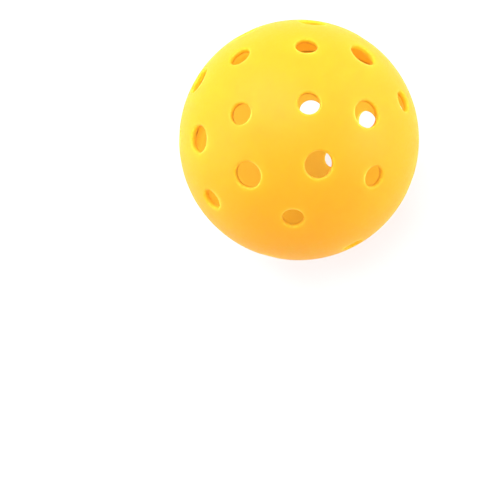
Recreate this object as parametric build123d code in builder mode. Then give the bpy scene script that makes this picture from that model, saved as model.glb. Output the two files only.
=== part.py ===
from build123d import *

import os
from math import cos, radians, sin, sqrt
from typing import NamedTuple

# A hollow, perforated court ball of 74 mm. It is moulded as two half shells that meet
# in a tongue and rebate at the equator, where two rings of weld join them. Each half
# has 20 drilled air holes in three rings. Millimetres, origin at the ball's centre,
# +Z through the pole of the upper half, so the weld lies in the XY plane.

# --- driving dimensions -------------------------------------------------------------
ball_diameter = 74.0
wall = 1.75
small_drill = 6.35  # quarter-inch drill
large_drill = 7.94  # five-sixteenths drill
outer_lip = 0.6  # rounding where each hole meets the outside
inner_lip = 0.2  # deburring where each hole meets the inside

band_height = 6.5  # the inside wall stands straight this far above and below the weld
tongue_length = 1.5  # how far the upper half's tongue reaches past the equator
tongue_share = 0.5  # the tongue's share of the wall at the band
tongue_gap = 0.05  # clearance between the tongue and the rebate round it
outer_weld_height = 0.4  # the weld ring that shows outside, flush with the surface
inner_weld_height = 0.3  # the weld ring under the tongue
weld_flash = 0.15  # how far the inner ring stands proud of the inside wall

half_turn = 22.5  # the lower half is welded on turned by this much about Z
clear_meridian = 35.4  # a longitude of the upper half that passes between its holes

# --- worked-out dimensions ----------------------------------------------------------
outer_radius = ball_diameter / 2
inner_radius = outer_radius - wall
band_radius = sqrt(inner_radius**2 - band_height**2)
tongue_radius = band_radius + tongue_share * (outer_radius - band_radius)
rebate_radius = tongue_radius + tongue_gap
rim_height = outer_weld_height / 2  # half the outer weld: where each outer rim stops
tongue_tip = -tongue_length
rebate_floor = tongue_tip - inner_weld_height
drill_depth = 3 * wall


class HoleRing(NamedTuple):
    """Equally spaced holes at one latitude, in degrees, of the upper half."""

    latitude: float
    count: int
    first_longitude: float
    drill: float


hole_rings = [
    HoleRing(latitude=67.4, count=4, first_longitude=0.0, drill=small_drill),
    HoleRing(latitude=42.4, count=8, first_longitude=22.5, drill=large_drill),
    HoleRing(latitude=20.5, count=8, first_longitude=0.0, drill=small_drill),
]


def drill_plane(latitude, longitude):
    """The plane that touches the ball at a point, with its normal outwards."""
    lat, lon = radians(latitude), radians(longitude)
    outward = Vector(cos(lat) * cos(lon), cos(lat) * sin(lon), sin(lat))
    return Plane(outward * outer_radius, x_dir=(-sin(lon), cos(lon), 0), z_dir=outward)


def drill_holes(side, turn):
    """Drills one half's rings: side is 1 for the upper half and -1 for the lower."""
    for ring in hole_rings:
        step = 360 / ring.count
        longitudes = [ring.first_longitude + turn + k * step for k in range(ring.count)]
        with Locations(*[drill_plane(side * ring.latitude, lon) for lon in longitudes]):
            Hole(ring.drill / 2, drill_depth)


def hole_edges(half, outside):
    """The edges where a half's holes meet its outside, or else its inside, sphere."""
    spheres = half.faces().filter_by(GeomType.SPHERE).sort_by(SortBy.AREA)
    sphere = spheres[-1] if outside else spheres[-2]
    return [edge for wire in sphere.inner_wires() for edge in wire.edges()]


def round_hole_lips(half):
    """Rounds the outside lip of every hole and takes the burr off the inside one."""
    fillet(hole_edges(half, outside=True), outer_lip)
    fillet(hole_edges(half, outside=False), inner_lip)


# The upper half: its rim is stepped, and the inner step is the tongue.
with BuildPart() as upper_shell:
    with BuildSketch(Plane.XZ.rotated((0, 0, clear_meridian))):
        with BuildLine():
            outer_start = (sqrt(outer_radius**2 - rim_height**2), rim_height)
            RadiusArc(outer_start, (0, outer_radius), -outer_radius)
            Line((0, outer_radius), (0, inner_radius))
            RadiusArc((0, inner_radius), (band_radius, band_height), inner_radius)
            Polyline(
                (band_radius, band_height),
                (band_radius, tongue_tip),
                (tongue_radius, tongue_tip),
                (tongue_radius, rim_height),
                outer_start,
            )
        make_face()
    revolve(axis=Axis.Z)
    drill_holes(side=1, turn=0)
    round_hole_lips(upper_shell)
upper_shell.part.label = "upper_shell"

# The lower half: its rim is stepped the other way, and the rebate takes the tongue.
with BuildPart() as lower_shell:
    with BuildSketch(Plane.XZ.rotated((0, 0, clear_meridian + half_turn))):
        with BuildLine():
            outer_end = (sqrt(outer_radius**2 - rim_height**2), -rim_height)
            RadiusArc((0, -outer_radius), outer_end, -outer_radius)
            Polyline(
                outer_end,
                (rebate_radius, -rim_height),
                (rebate_radius, rebate_floor),
                (band_radius, rebate_floor),
                (band_radius, -band_height),
            )
            RadiusArc((band_radius, -band_height), (0, -inner_radius), inner_radius)
            Line((0, -inner_radius), (0, -outer_radius))
        make_face()
    revolve(axis=Axis.Z)
    drill_holes(side=-1, turn=half_turn)
    round_hole_lips(lower_shell)
lower_shell.part.label = "lower_shell"

# The outer weld: it fills the gap between the two outer rims, flush with the ball.
with BuildPart() as outer_weld:
    with BuildSketch(Plane.XZ):
        with BuildLine():
            Polyline(
                outer_end,
                (tongue_radius, -rim_height),
                (tongue_radius, rim_height),
                outer_start,
            )
            RadiusArc(outer_start, outer_end, outer_radius)
        make_face()
    revolve(axis=Axis.Z)
outer_weld.part.label = "outer_weld"

# The inner weld: it lies under the tongue's tip, and a little flash shows inside.
with BuildPart() as inner_weld:
    with BuildSketch(Plane.XZ):
        with BuildLine():
            weld_top = (band_radius, tongue_tip)
            weld_foot = (band_radius, rebate_floor)
            Polyline(
                weld_top,
                (tongue_radius, tongue_tip),
                (tongue_radius, rebate_floor),
                weld_foot,
            )
            flash_crown = (band_radius - weld_flash, (tongue_tip + rebate_floor) / 2)
            ThreePointArc(weld_foot, flash_crown, weld_top)
        make_face()
    revolve(axis=Axis.Z)
inner_weld.part.label = "inner_weld"

os.makedirs("parts", exist_ok=True)
for piece in (upper_shell, lower_shell, outer_weld, inner_weld):
    export_step(piece.part, f"parts/{piece.part.label}.step")
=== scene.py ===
"""The finished look of a hollow, perforated court ball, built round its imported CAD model.

Two moulded half shells with drilled air holes are joined by a weld round the equator.
All lengths are in metres, in the CAD model's frame: the origin is the ball's centre and
+Z runs through the pole of the upper half.
"""

import logging
from dataclasses import dataclass, field
from enum import Enum
from math import asin, atan2, cos, pi, radians, sin, sqrt, tan

import bmesh
import bpy
from bmesh.types import BMEdge, BMesh, BMVert
from bpy.types import NodeSocket, NodeTree
from mathutils import Matrix, Vector


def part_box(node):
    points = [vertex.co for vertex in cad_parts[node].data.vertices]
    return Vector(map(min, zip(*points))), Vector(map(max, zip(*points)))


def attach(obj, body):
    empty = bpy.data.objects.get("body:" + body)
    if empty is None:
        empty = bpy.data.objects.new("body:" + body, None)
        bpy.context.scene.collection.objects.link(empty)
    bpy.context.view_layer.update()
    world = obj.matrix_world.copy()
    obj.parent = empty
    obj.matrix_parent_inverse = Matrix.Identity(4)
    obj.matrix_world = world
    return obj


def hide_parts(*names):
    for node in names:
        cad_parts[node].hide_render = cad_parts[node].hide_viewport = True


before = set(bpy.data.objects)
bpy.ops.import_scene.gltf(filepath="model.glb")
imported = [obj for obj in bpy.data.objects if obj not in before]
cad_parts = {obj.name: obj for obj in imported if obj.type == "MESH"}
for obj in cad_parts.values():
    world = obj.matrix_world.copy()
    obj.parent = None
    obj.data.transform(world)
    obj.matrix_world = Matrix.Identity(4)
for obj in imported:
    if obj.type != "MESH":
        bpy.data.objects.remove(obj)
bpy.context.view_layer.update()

log = logging.getLogger("court_ball")

BODY = "root"
MILLIMETRE = 0.001
MERGE_DISTANCE = 1e-6
CUT_TOLERANCE = 1e-7
WHITE = (1.0, 1.0, 1.0, 1.0)
ORIGIN = Vector((0.0, 0.0, 0.0))
POLE = Vector((0.0, 0.0, 1.0))


class Slot(Enum):
    """The record's material slots."""

    SHELL = "shell_plastic"
    WELD = "weld_plastic"


class Drill(Enum):
    """The two drills of the air holes, by their radius."""

    SMALL = 3.175 * MILLIMETRE
    LARGE = 3.97 * MILLIMETRE


class Mark(Enum):
    """What the tools left on the plastic, kept as a number on each vertex."""

    BORE_DEPTH = "bore_depth"
    WELD_LINE = "weld_line"


@dataclass(frozen=True)
class HoleRing:
    """Equally spaced air holes at one latitude of the upper half, in degrees."""

    latitude: float
    count: int
    first_longitude: float
    drill: Drill

    def outward(self, number: int) -> Vector:
        """The direction from the ball's centre through one of the ring's holes.

        Args:
            number: Which hole, from 0.

        Returns:
            A unit vector along the hole's axis.
        """
        longitude = radians(self.first_longitude + number * 360 / self.count)
        latitude = radians(self.latitude)
        level = cos(latitude)
        return Vector((level * cos(longitude), level * sin(longitude), sin(latitude)))


@dataclass(frozen=True)
class Mouth:
    """One air hole: its axis and its radius, and the rings of vertices at its two ends."""

    axis: Vector
    radius: float
    outside: list[BMVert]
    inside: list[BMVert]


@dataclass
class BallMoulding:
    """The ball's whole wall: two drilled half shells, fused and trimmed at their weld."""

    radius: float
    wall: float = 1.75 * MILLIMETRE
    band_height: float = 6.5 * MILLIMETRE
    outer_lip: float = 0.6 * MILLIMETRE
    inner_lip: float = 0.2 * MILLIMETRE
    half_turn: float = radians(22.5)
    grid: int = 80
    outer_lip_steps: int = 5
    inner_lip_steps: int = 3
    relax_rounds: int = 14
    relax_factor: float = 0.5
    relax_margins: int = 5
    margin_cells: float = 0.6
    weld_heights: tuple[float, ...] = (0.1 * MILLIMETRE, 0.2 * MILLIMETRE, 0.32 * MILLIMETRE)
    weld_crown: float = 0.02 * MILLIMETRE
    weld_groove: float = 0.02 * MILLIMETRE
    rings: list[HoleRing] = field(
        default_factory=lambda: [
            HoleRing(latitude=67.4, count=4, first_longitude=0.0, drill=Drill.SMALL),
            HoleRing(latitude=42.4, count=8, first_longitude=22.5, drill=Drill.LARGE),
            HoleRing(latitude=20.5, count=8, first_longitude=0.0, drill=Drill.SMALL),
        ]
    )

    @property
    def inner_radius(self) -> float:
        """The radius of the inside of the dome."""
        return self.radius - self.wall

    @property
    def band_radius(self) -> float:
        """The radius of the straight inside wall next to the weld."""
        return sqrt(self.inner_radius**2 - self.band_height**2)

    @property
    def cell(self) -> float:
        """The angle that one face of the dome's grid spans."""
        return pi / 2 / self.grid

    def build(self) -> bpy.types.Object:
        """Makes the wall as one closed mesh.

        Returns:
            The new object, linked to the scene, with its place in its mesh.
        """
        bm = bmesh.new()
        for mark in Mark:
            bm.verts.layers.float.new(mark.value)
        self.raise_dome(bm)
        mouths = self.punch_holes(bm)
        for mouth in self.line_inside(bm, mouths):
            self.join_lip(bm, mouth)
        self.draw_weld_line(bm)
        self.add_other_half(bm)
        bmesh.ops.remove_doubles(bm, verts=bm.verts[:], dist=MERGE_DISTANCE)
        bmesh.ops.recalc_face_normals(bm, faces=bm.faces[:])
        return finished_piece(bm, "ball_moulding")

    def raise_dome(self, bm: BMesh) -> None:
        """Makes the outside of the upper half, as a cube's grid blown up to a sphere.

        Args:
            bm: The mesh to make it in.
        """
        bmesh.ops.create_cube(bm, size=2.0)
        cuts = self.grid - 1
        bmesh.ops.subdivide_edges(bm, edges=bm.edges[:], cuts=cuts, use_grid_fill=True)
        for vert in bm.verts:
            even = Vector([tan(c * pi / 4) for c in vert.co])
            vert.co = even.normalized() * self.radius
        bmesh.ops.bisect_plane(
            bm,
            geom=everything(bm),
            dist=CUT_TOLERANCE,
            plane_co=ORIGIN,
            plane_no=POLE,
            clear_inner=True,
        )

    def punch_holes(self, bm: BMesh) -> list[Mouth]:
        """Opens a round mouth for every hole in the outside of the dome.

        Args:
            bm: The mesh that holds the dome.

        Returns:
            The mouths, each with its ring of vertices on the outside.
        """
        mouths = []
        for ring in self.rings:
            for number in range(ring.count):
                axis = ring.outward(number)
                outside = self.punch(bm, axis, self.outer_mouth(ring.drill.value))
                mouths.append(Mouth(axis, ring.drill.value, outside, []))
        return mouths

    def outer_mouth(self, hole_radius: float) -> float:
        """How far from a hole's axis its rounded lip starts on the outside."""
        return self.radius * (hole_radius + self.outer_lip) / (self.radius - self.outer_lip)

    def inner_mouth(self, hole_radius: float) -> float:
        """How far from a hole's axis its rounded lip starts on the inside."""
        reach = self.inner_radius + self.inner_lip
        return self.inner_radius * (hole_radius + self.inner_lip) / reach

    def punch(self, bm: BMesh, axis: Vector, mouth: float) -> list[BMVert]:
        """Cuts one mouth in the dome and evens out the faces round it.

        Args:
            bm: The mesh that holds the dome.
            axis: The hole's axis.
            mouth: The radius of the mouth.

        Returns:
            The vertices of the mouth, all on one circle.
        """
        reach = asin(mouth / self.radius)
        margin = self.margin_cells * self.cell
        doomed = [f for f in bm.faces if f.calc_center_median().angle(axis) < reach + margin]
        inside = set(doomed)
        edges = dict.fromkeys(e for f in doomed for e in f.edges)
        ragged = [e for e in edges if not inside.issuperset(e.link_faces)]
        bmesh.ops.delete(bm, geom=doomed, context="FACES")
        grown = bmesh.ops.extrude_edge_only(bm, edges=ragged)["geom"]
        ring = [g for g in grown if isinstance(g, BMVert)]
        around = [v for v in bm.verts if v.co.angle(axis) < reach + self.relax_margins * margin]
        for _ in range(self.relax_rounds):
            self.snap(around, ring, axis, mouth)
            bmesh.ops.smooth_vert(
                bm,
                verts=around,
                factor=self.relax_factor,
                use_axis_x=True,
                use_axis_y=True,
                use_axis_z=True,
            )
        self.snap(around, ring, axis, mouth)
        return ring

    def snap(
        self, around: list[BMVert], ring: list[BMVert], axis: Vector, mouth: float
    ) -> None:
        """Puts vertices back on the sphere, and those of a mouth on its circle.

        Args:
            around: The vertices near the hole, the mouth's own among them.
            ring: The vertices of the mouth.
            axis: The hole's axis.
            mouth: The radius of the mouth.
        """
        for vert in around:
            vert.co = vert.co.normalized() * self.radius
        for vert in ring:
            place_round_axis(vert, axis, mouth, sqrt(self.radius**2 - mouth**2))

    def line_inside(self, bm: BMesh, mouths: list[Mouth]) -> list[Mouth]:
        """Copies the punched dome inwards as the inside wall, with its straight band.

        Args:
            bm: The mesh that holds the punched dome.
            mouths: The holes, with their outside rings.

        Returns:
            The holes, with both of their rings.
        """
        copy = bmesh.ops.duplicate(bm, geom=everything(bm))
        twin = copy["vert_map"]
        lining = [g for g in copy["geom"] if isinstance(g, BMVert)]
        shrink = self.inner_radius / self.radius
        bmesh.ops.scale(bm, verts=lining, vec=Vector((shrink, shrink, shrink)))
        both = []
        for mouth in mouths:
            inside = [twin[vert] for vert in mouth.outside]
            reach = self.inner_mouth(mouth.radius)
            height = sqrt(self.inner_radius**2 - reach**2)
            for vert in inside:
                place_round_axis(vert, mouth.axis, reach, height)
            both.append(Mouth(mouth.axis, mouth.radius, mouth.outside, inside))
        for vert in lining:
            if vert.co.z < self.band_height:
                place_round_axis(vert, POLE, self.band_radius, vert.co.z)
        return both

    def lip_profile(self, hole_radius: float) -> list[tuple[float, float]]:
        """The cross-section of a hole's wall, from its outside mouth to its inside one.

        Args:
            hole_radius: The drill's radius.

        Returns:
            Points as distance from the hole's axis and height along it. The first and
            the last lie on the two mouths.
        """
        crown_out = hole_radius + self.outer_lip
        crown_up = sqrt((self.radius - self.outer_lip) ** 2 - crown_out**2)
        foot_out = hole_radius + self.inner_lip
        foot_up = sqrt((self.inner_radius + self.inner_lip) ** 2 - foot_out**2)
        start = atan2(crown_up, crown_out)
        end = pi + atan2(foot_up, foot_out)
        profile = []
        for step in range(self.outer_lip_steps + 1):
            angle = start + (pi - start) * step / self.outer_lip_steps
            across, along = self.outer_lip * cos(angle), self.outer_lip * sin(angle)
            profile.append((crown_out + across, crown_up + along))
        for step in range(self.inner_lip_steps + 1):
            angle = pi + (end - pi) * step / self.inner_lip_steps
            across, along = self.inner_lip * cos(angle), self.inner_lip * sin(angle)
            profile.append((foot_out + across, foot_up + along))
        return profile

    def join_lip(self, bm: BMesh, mouth: Mouth) -> None:
        """Draws a hole's wall from its outside mouth to its inside one.

        Args:
            bm: The mesh that holds both walls.
            mouth: The hole.
        """
        marks = bm.verts.layers.float[Mark.BORE_DEPTH.value]
        loop = boundary_edges(mouth.outside)
        profile = self.lip_profile(mouth.radius)
        top = profile[0][1]
        for distance, height in profile[1:]:
            grown = bmesh.ops.extrude_edge_only(bm, edges=loop)["geom"]
            loop = [g for g in grown if isinstance(g, BMEdge)]
            for vert in (g for g in grown if isinstance(g, BMVert)):
                place_round_axis(vert, mouth.axis, distance, height)
                vert[marks] = (top - height) / self.wall
        last = dict.fromkeys(v for edge in loop for v in edge.verts)
        bmesh.ops.remove_doubles(bm, verts=[*last, *mouth.inside], dist=MERGE_DISTANCE)

    def draw_weld_line(self, bm: BMesh) -> None:
        """Leaves the trimmed weld's low crown and the hairline groove beside it.

        Args:
            bm: The mesh that holds the upper half, open at the equator.
        """
        for height in self.weld_heights:
            low = [v for v in bm.verts if v.co.z < MILLIMETRE and v.co.length > self.inner_radius]
            faces = dict.fromkeys(f for v in low for f in v.link_faces)
            edges = dict.fromkeys(e for v in low for e in v.link_edges)
            bmesh.ops.bisect_plane(
                bm, geom=[*low, *edges, *faces], plane_co=(0, 0, height), plane_no=POLE
            )
        marks = bm.verts.layers.float[Mark.WELD_LINE.value]
        slack = 1.01
        crown, groove, _ = (height * slack for height in self.weld_heights)
        for vert in bm.verts:
            if vert.co.length < self.inner_radius + MILLIMETRE or vert.co.z > groove:
                continue
            rise = self.weld_crown if vert.co.z < crown else -self.weld_groove
            flat = sqrt(self.radius**2 - vert.co.z**2)
            place_round_axis(vert, POLE, flat + rise, vert.co.z)
            vert[marks] = 1.0

    def add_other_half(self, bm: BMesh) -> None:
        """Mirrors the upper half as the lower one, turned about Z as it was welded.

        Args:
            bm: The mesh that holds the upper half, open at the equator.
        """
        copy = bmesh.ops.duplicate(bm, geom=everything(bm))["geom"]
        verts = [g for g in copy if isinstance(g, BMVert)]
        bmesh.ops.scale(bm, verts=verts, vec=Vector((1, 1, -1)))
        turn = Matrix.Rotation(self.half_turn, 3, "Z")
        bmesh.ops.rotate(bm, verts=verts, cent=ORIGIN, matrix=turn)


def everything(bm: BMesh) -> list:
    """All the vertices, edges and faces of a mesh."""
    return [*bm.verts, *bm.edges, *bm.faces]


def place_round_axis(vert: BMVert, axis: Vector, distance: float, height: float) -> None:
    """Moves a vertex to a distance from an axis and a height along it, without turning it.

    Args:
        vert: The vertex.
        axis: A unit vector from the origin.
        distance: The distance from the axis.
        height: The height along the axis.
    """
    across = (vert.co - axis * vert.co.dot(axis)).normalized()
    vert.co = axis * height + across * distance


def boundary_edges(verts: list[BMVert]) -> list[BMEdge]:
    """The open edges between some vertices."""
    chosen = set(verts)
    edges = dict.fromkeys(e for v in verts for e in v.link_edges if e.is_boundary)
    return [e for e in edges if chosen.issuperset(e.verts)]


def finished_piece(bm: BMesh, name: str) -> bpy.types.Object:
    """Turns a mesh into a smooth-shaded object at the origin.

    Args:
        bm: The mesh, which is freed.
        name: The object's name.

    Returns:
        The new object, linked to the scene.
    """
    for face in bm.faces:
        face.smooth = True
    mesh = bpy.data.meshes.new(name)
    bm.to_mesh(mesh)
    bm.free()
    piece = bpy.data.objects.new(name, mesh)
    bpy.context.scene.collection.objects.link(piece)
    return piece


@dataclass(frozen=True)
class BallPlastic:
    """Satin polyethylene, coloured through, that lets some light into its wall."""

    name: str
    colour: tuple[float, float, float]
    pale_colour: tuple[float, float, float]
    # Paler colour painted on the holes' rounded outer lips: a painted highlight.
    lip_highlight_colour: tuple[float, float, float]
    roughness: float = 0.5
    roughness_spread: float = 0.05
    bore_roughness: float = 0.12
    weld_polish: float = 0.08
    ior: float = 1.5
    gloss: float = 0.14
    scatter_depth: float = 22 * MILLIMETRE
    scatter_colour: tuple[float, float, float] = (1.0, 0.7, 0.53)
    cloud_size: float = 14.0 * MILLIMETRE
    cloud_detail: float = 3.0
    grain_size: float = 0.9 * MILLIMETRE
    grain_detail: float = 4.0
    grain_span: tuple[float, float] = (0.3, 0.7)
    bump_depth: float = 0.012 * MILLIMETRE
    drill_rings: float = 9.0
    drill_depth: float = 0.02 * MILLIMETRE
    bore_start: tuple[float, float] = (0.0, 0.25)
    edge_start: tuple[float, float] = (0.0, 0.06)
    edge_end: tuple[float, float] = (0.2, 0.4)
    # Where and how strongly the painted highlight on the lips shows, following the grain.
    lip_highlight_span: tuple[float, float] = (0.45, 0.62)
    lip_highlight_strength: float = 0.6

    def make(self) -> bpy.types.Material:
        """Builds the node material.

        Returns:
            The material.
        """
        material = bpy.data.materials.new(self.name)
        material.use_nodes = True
        tree = material.node_tree
        shader = tree.nodes["Principled BSDF"]
        shader.inputs["IOR"].default_value = self.ior
        shader.inputs["Specular IOR Level"].default_value = self.gloss
        shader.inputs["Subsurface Weight"].default_value = 1.0
        shader.inputs["Subsurface Radius"].default_value = self.scatter_colour
        shader.inputs["Subsurface Scale"].default_value = self.scatter_depth
        place = tree.nodes.new("ShaderNodeTexCoord").outputs["Object"]
        clouds = self.noise(tree, place, self.cloud_size, self.cloud_detail)
        grain = self.noise(tree, place, self.grain_size, self.grain_detail)
        bore = self.mark(tree, Mark.BORE_DEPTH)
        weld = self.mark(tree, Mark.WELD_LINE)
        cut = self.ramp(tree, bore, self.bore_start, (0.0, 1.0))
        edge = self.edge_band(tree, bore)
        # The holes' rounded outer lips are painted paler, in grain patches: a painted highlight.
        painted_lip_highlight = self.combine(tree, "MULTIPLY", edge, self.highlight_patches(tree, grain))

        tint = self.blend(tree, clouds, (*self.colour, 1.0), (*self.pale_colour, 1.0))
        # Mixes the painted highlight on the lips into the tint.
        tint_with_highlight = self.blend(tree, painted_lip_highlight, tint, (*self.lip_highlight_colour, 1.0))
        tree.links.new(tint_with_highlight, shader.inputs["Base Color"])

        smoothest = self.roughness - self.roughness_spread
        roughest = self.roughness + self.roughness_spread
        satin = self.ramp(tree, grain, self.grain_span, (smoothest, roughest))
        rough = self.combine(tree, "MULTIPLY_ADD", cut, self.bore_roughness, satin)
        polished = self.combine(tree, "MULTIPLY_ADD", weld, -self.weld_polish, rough)
        tree.links.new(polished, shader.inputs["Roughness"])

        skin = self.bump(tree, grain, self.bump_depth, None)
        rings = self.drill_marks(tree, bore, cut)
        tree.links.new(self.bump(tree, rings, self.drill_depth, skin), shader.inputs["Normal"])
        return material

    def noise(
        self, tree: NodeTree, place: NodeSocket, size: float, detail: float
    ) -> NodeSocket:
        """Adds soft noise.

        Args:
            tree: The node tree.
            place: The coordinates.
            size: The size of its blotches.
            detail: How many finer layers it has.

        Returns:
            The noise, from 0 to 1.
        """
        node = tree.nodes.new("ShaderNodeTexNoise")
        node.inputs["Scale"].default_value = 1 / size
        node.inputs["Detail"].default_value = detail
        tree.links.new(place, node.inputs["Vector"])
        return node.outputs["Fac"]

    def mark(self, tree: NodeTree, mark: Mark) -> NodeSocket:
        """Reads one of the tool marks of the mesh."""
        node = tree.nodes.new("ShaderNodeAttribute")
        node.attribute_name = mark.value
        return node.outputs["Fac"]

    def ramp(
        self,
        tree: NodeTree,
        value: NodeSocket,
        span: tuple[float, float],
        result: tuple[float, float],
    ) -> NodeSocket:
        """Maps one range of a value to another, smoothly and without going past its ends.

        Args:
            tree: The node tree.
            value: The value.
            span: The range to map from.
            result: The range to map to.

        Returns:
            The mapped value.
        """
        node = tree.nodes.new("ShaderNodeMapRange")
        node.interpolation_type = "SMOOTHSTEP"
        node.inputs["From Min"].default_value, node.inputs["From Max"].default_value = span
        node.inputs["To Min"].default_value, node.inputs["To Max"].default_value = result
        tree.links.new(value, node.inputs["Value"])
        return node.outputs["Result"]

    def edge_band(self, tree: NodeTree, bore: NodeSocket) -> NodeSocket:
        """Picks out the rounded outer edge of each hole.

        Args:
            tree: The node tree.
            bore: The depth down the hole, 0 outside it.

        Returns:
            1 along the edge and 0 away from it.
        """
        near = self.ramp(tree, bore, self.edge_start, (0.0, 1.0))
        far = self.ramp(tree, bore, self.edge_end, (1.0, 0.0))
        return self.combine(tree, "MULTIPLY", near, far)

    def highlight_patches(self, tree: NodeTree, grain: NodeSocket) -> NodeSocket:
        """Breaks the painted highlight on the holes' lips up into patches, following the grain."""
        return self.ramp(tree, grain, self.lip_highlight_span, (0.0, self.lip_highlight_strength))

    def drill_marks(self, tree: NodeTree, bore: NodeSocket, cut: NodeSocket) -> NodeSocket:
        """The fine rings that a drill leaves on a hole's wall.

        Args:
            tree: The node tree.
            bore: The depth down the hole.
            cut: 1 on the hole's wall and 0 outside it.

        Returns:
            The height of the rings.
        """
        node = tree.nodes.new("ShaderNodeTexNoise")
        node.noise_dimensions = "1D"
        node.inputs["Scale"].default_value = self.drill_rings
        tree.links.new(bore, node.inputs["W"])
        return self.combine(tree, "MULTIPLY", node.outputs["Fac"], cut)

    def combine(
        self,
        tree: NodeTree,
        operation: str,
        first: NodeSocket,
        second: NodeSocket | float,
        third: NodeSocket | None = None,
    ) -> NodeSocket:
        """Adds a Math node.

        Args:
            tree: The node tree.
            operation: The node's operation.
            first: Its first value.
            second: Its second value, a number or a socket.
            third: Its third value, where the operation takes one.

        Returns:
            The result.
        """
        node = tree.nodes.new("ShaderNodeMath")
        node.operation = operation
        tree.links.new(first, node.inputs[0])
        if isinstance(second, NodeSocket):
            tree.links.new(second, node.inputs[1])
        else:
            node.inputs[1].default_value = second
        if third is not None:
            tree.links.new(third, node.inputs[2])
        return node.outputs["Value"]

    def blend(
        self,
        tree: NodeTree,
        share: NodeSocket,
        first: NodeSocket | tuple[float, ...],
        second: NodeSocket | tuple[float, ...],
    ) -> NodeSocket:
        """Mixes two colours.

        Args:
            tree: The node tree.
            share: How much of the second colour there is.
            first: The first colour.
            second: The second colour.

        Returns:
            The mixed colour.
        """
        node = tree.nodes.new("ShaderNodeMix")
        node.data_type = "RGBA"
        tree.links.new(share, node.inputs["Factor"])
        for colour, socket in ((first, node.inputs["A"]), (second, node.inputs["B"])):
            if isinstance(colour, NodeSocket):
                tree.links.new(colour, socket)
            else:
                socket.default_value = colour
        return node.outputs["Result"]

    def bump(
        self, tree: NodeTree, height: NodeSocket, depth: float, under: NodeSocket | None
    ) -> NodeSocket:
        """Adds a bump.

        Args:
            tree: The node tree.
            height: Its height map.
            depth: How deep it goes.
            under: The normal that it is laid on.

        Returns:
            The bumped normal.
        """
        node = tree.nodes.new("ShaderNodeBump")
        node.inputs["Distance"].default_value = depth
        tree.links.new(height, node.inputs["Height"])
        if under is not None:
            tree.links.new(under, node.inputs["Normal"])
        return node.outputs["Normal"]


@dataclass
class InnerWeldBead:
    """The rounded flash of the weld, on the inside of the wall."""

    foot: float
    top: float
    band_radius: float
    flash: float = 0.15 * MILLIMETRE
    root: float = 0.1 * MILLIMETRE
    turns: int = 320
    crown_steps: int = 8
    crease: float = radians(40)

    def build(self) -> bpy.types.Object:
        """Spins the bead's cross-section round the pole.

        Returns:
            The new object.
        """
        back = self.band_radius + self.root
        section = [(back, self.top), (back, self.foot)]
        for step in range(self.crown_steps + 1):
            angle = pi * step / self.crown_steps
            height = (self.foot + self.top) / 2 - (self.top - self.foot) / 2 * cos(angle)
            section.append((self.band_radius - self.flash * sin(angle), height))
        bm = bmesh.new()
        for mark in Mark:
            bm.verts.layers.float.new(mark.value)
        corners = [bm.verts.new((distance, 0.0, height)) for distance, height in section]
        edges = [bm.edges.new(pair) for pair in zip(corners, corners[1:] + corners[:1])]
        bmesh.ops.spin(
            bm,
            geom=[*corners, *edges],
            cent=ORIGIN,
            axis=POLE,
            angle=2 * pi,
            steps=self.turns,
            use_merge=True,
        )
        bmesh.ops.remove_doubles(bm, verts=bm.verts[:], dist=MERGE_DISTANCE)
        bmesh.ops.recalc_face_normals(bm, faces=bm.faces[:])
        for edge in bm.edges:
            edge.smooth = edge.calc_face_angle() < self.crease
        return finished_piece(bm, "inner_weld_bead")


@dataclass
class CourtBall:
    """The whole ball: its wall, and the weld's bead inside it."""

    shell_finish: BallPlastic
    weld_finish: BallPlastic

    def build(self) -> list[bpy.types.Object]:
        """Makes every piece, dresses it and puts it on its body.

        Returns:
            The pieces.
        """
        moulding = BallMoulding(radius=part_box("upper_shell")[1].z)
        foot, top = (corner.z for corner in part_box("inner_weld"))
        bead = InnerWeldBead(foot=foot, top=top, band_radius=moulding.band_radius)
        wall_nodes = ("upper_shell", "lower_shell", "outer_weld")
        return [
            self.fit(moulding.build(), wall_nodes, self.shell_finish),
            self.fit(bead.build(), ("inner_weld",), self.weld_finish),
        ]

    def fit(
        self, piece: bpy.types.Object, nodes: tuple[str, ...], finish: BallPlastic
    ) -> bpy.types.Object:
        """Dresses a piece and lets it stand for its CAD nodes.

        Args:
            piece: The piece.
            nodes: The CAD nodes that it replaces.
            finish: Its finish.

        Returns:
            The same piece.
        """
        piece.data.materials.append(finish.make())
        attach(piece, BODY)
        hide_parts(*nodes)
        return piece


@dataclass(frozen=True)
class SoftBox:
    """A large soft light that faces the ball."""

    name: str
    azimuth: float
    elevation: float
    size: float
    watts: float
    distance: float = 0.9

    def place(self) -> None:
        """Adds the light to the scene."""
        light = bpy.data.lights.new(self.name, "AREA")
        light.shape = "DISK"
        light.size = self.size
        light.energy = self.watts
        lamp = bpy.data.objects.new(self.name, light)
        away = view_direction(self.azimuth, self.elevation)
        lamp.location = away * self.distance
        lamp.rotation_euler = away.to_track_quat("Z", "Y").to_euler()
        bpy.context.scene.collection.objects.link(lamp)


def view_direction(azimuth: float, elevation: float) -> Vector:
    """The unit vector from the ball towards a viewer.

    Args:
        azimuth: Degrees, 0 for a viewer at -Y and 90 for one at +X.
        elevation: Degrees above the horizon.

    Returns:
        The direction.
    """
    a, e = radians(azimuth), radians(elevation)
    return Vector((sin(a) * cos(e), -cos(a) * cos(e), sin(e)))


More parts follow.
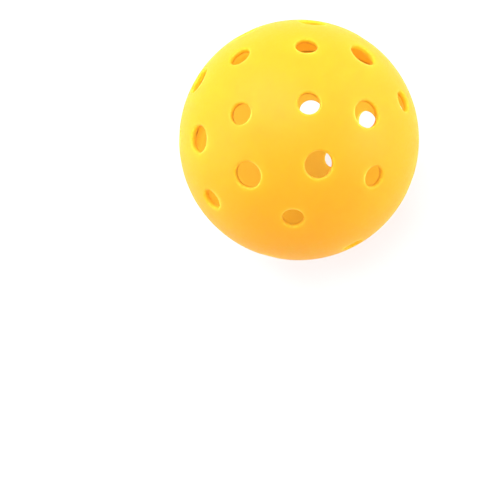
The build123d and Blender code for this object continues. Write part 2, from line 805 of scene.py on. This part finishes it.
@dataclass(frozen=True)
class Viewpoint:
    """The camera: where it stands, how it leans and how far beside the ball it looks."""

    azimuth: float = -28.24
    elevation: float = 55.9
    roll: float = -22.24
    distance: float = 407 * MILLIMETRE
    look_right: float = -15.13 * MILLIMETRE
    look_up: float = -33.98 * MILLIMETRE
    lens: float = 94.2
    sensor_width: float = 36.0
    clip_start: float = 10 * MILLIMETRE

    def place(self) -> None:
        """Adds the camera and makes it the scene's."""
        camera = bpy.data.objects.new("camera", bpy.data.cameras.new("camera"))
        camera.data.lens = self.lens
        camera.data.sensor_width = self.sensor_width
        camera.data.clip_start = self.clip_start
        back = view_direction(self.azimuth, self.elevation)
        level = Vector((cos(radians(self.azimuth)), sin(radians(self.azimuth)), 0.0))
        rise = back.cross(level)
        facing = Matrix((level, rise, back)).transposed()
        leaning = facing @ Matrix.Rotation(radians(self.roll), 3, "Z")
        aim = Vector((self.look_right, self.look_up, -self.distance))
        swing = Vector((0, 0, -1)).rotation_difference(aim).to_matrix()
        camera.matrix_world = Matrix.Translation(back * self.distance) @ (leaning @ swing).to_4x4()
        bpy.context.scene.collection.objects.link(camera)
        bpy.context.scene.camera = camera


@dataclass(frozen=True)
class Studio:
    """A pale, softly glowing floor under the ball, soft lights and an even white surround."""

    floor_height: float
    floor_size: float = 3.0
    floor_squares: int = 8
    floor_roughness: float = 0.9
    floor_colour: tuple[float, float, float] = (0.18, 0.18, 0.18)
    floor_glow: float = 0.74
    surround: float = 1.0
    lights: tuple[SoftBox, ...] = (
        SoftBox("key_softbox", azimuth=187, elevation=57, size=0.6, watts=5.2),
        SoftBox("overhead_softbox", azimuth=0, elevation=90, size=0.7, watts=8.3),
        SoftBox("right_softbox", azimuth=34, elevation=8, size=0.5, watts=5.8),
        SoftBox("far_softbox", azimuth=69, elevation=26, size=0.7, watts=2.9),
        SoftBox("left_softbox", azimuth=-127, elevation=27, size=0.7, watts=4.3),
    )

    def build(self) -> None:
        """Adds the floor, the lights and the surround."""
        bm = bmesh.new()
        squares = self.floor_squares
        bmesh.ops.create_grid(
            bm, x_segments=squares, y_segments=squares, size=self.floor_size / 2
        )
        bmesh.ops.translate(bm, verts=bm.verts[:], vec=Vector((0, 0, self.floor_height)))
        floor = finished_piece(bm, "floor")
        floor.data.materials.append(self.floor_finish())
        for light in self.lights:
            light.place()
        world = bpy.data.worlds.new("surround")
        world.use_nodes = True
        backdrop = world.node_tree.nodes["Background"]
        backdrop.inputs["Color"].default_value = WHITE
        backdrop.inputs["Strength"].default_value = self.surround
        bpy.context.scene.world = world
        bpy.context.scene.view_settings.view_transform = "Standard"

    def floor_finish(self) -> bpy.types.Material:
        """Makes the floor's matte finish, lit from below as a light table is."""
        material = bpy.data.materials.new("pale_floor")
        material.use_nodes = True
        shader = material.node_tree.nodes["Principled BSDF"]
        shader.inputs["Base Color"].default_value = (*self.floor_colour, 1.0)
        shader.inputs["Roughness"].default_value = self.floor_roughness
        shader.inputs["Emission Color"].default_value = WHITE
        shader.inputs["Emission Strength"].default_value = self.floor_glow
        return material


def main() -> None:
    """Builds the camera, the ball and the studio."""
    logging.basicConfig(level=logging.INFO, format="%(name)s: %(message)s")
    Viewpoint().place()
    ball = CourtBall(
        shell_finish=BallPlastic(
            "yellow_polyethylene",
            colour=(1.0, 0.28, 0.008),
            pale_colour=(1.0, 0.30, 0.010),
            # Paler colour painted on the holes' lips: a painted highlight.
            lip_highlight_colour=(1.0, 0.36, 0.025),
        ),
        weld_finish=BallPlastic(
            "fused_polyethylene",
            colour=(1.0, 0.26, 0.007),
            pale_colour=(1.0, 0.28, 0.009),
            # Paler colour painted on the holes' lips: a painted highlight.
            lip_highlight_colour=(1.0, 0.34, 0.02),
            roughness=0.4,
        ),
    )
    for piece in ball.build():
        log.info("%s: %d faces", piece.name, len(piece.data.polygons))
    Studio(floor_height=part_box("lower_shell")[0].z).build()


if __name__ == "__main__":
    main()
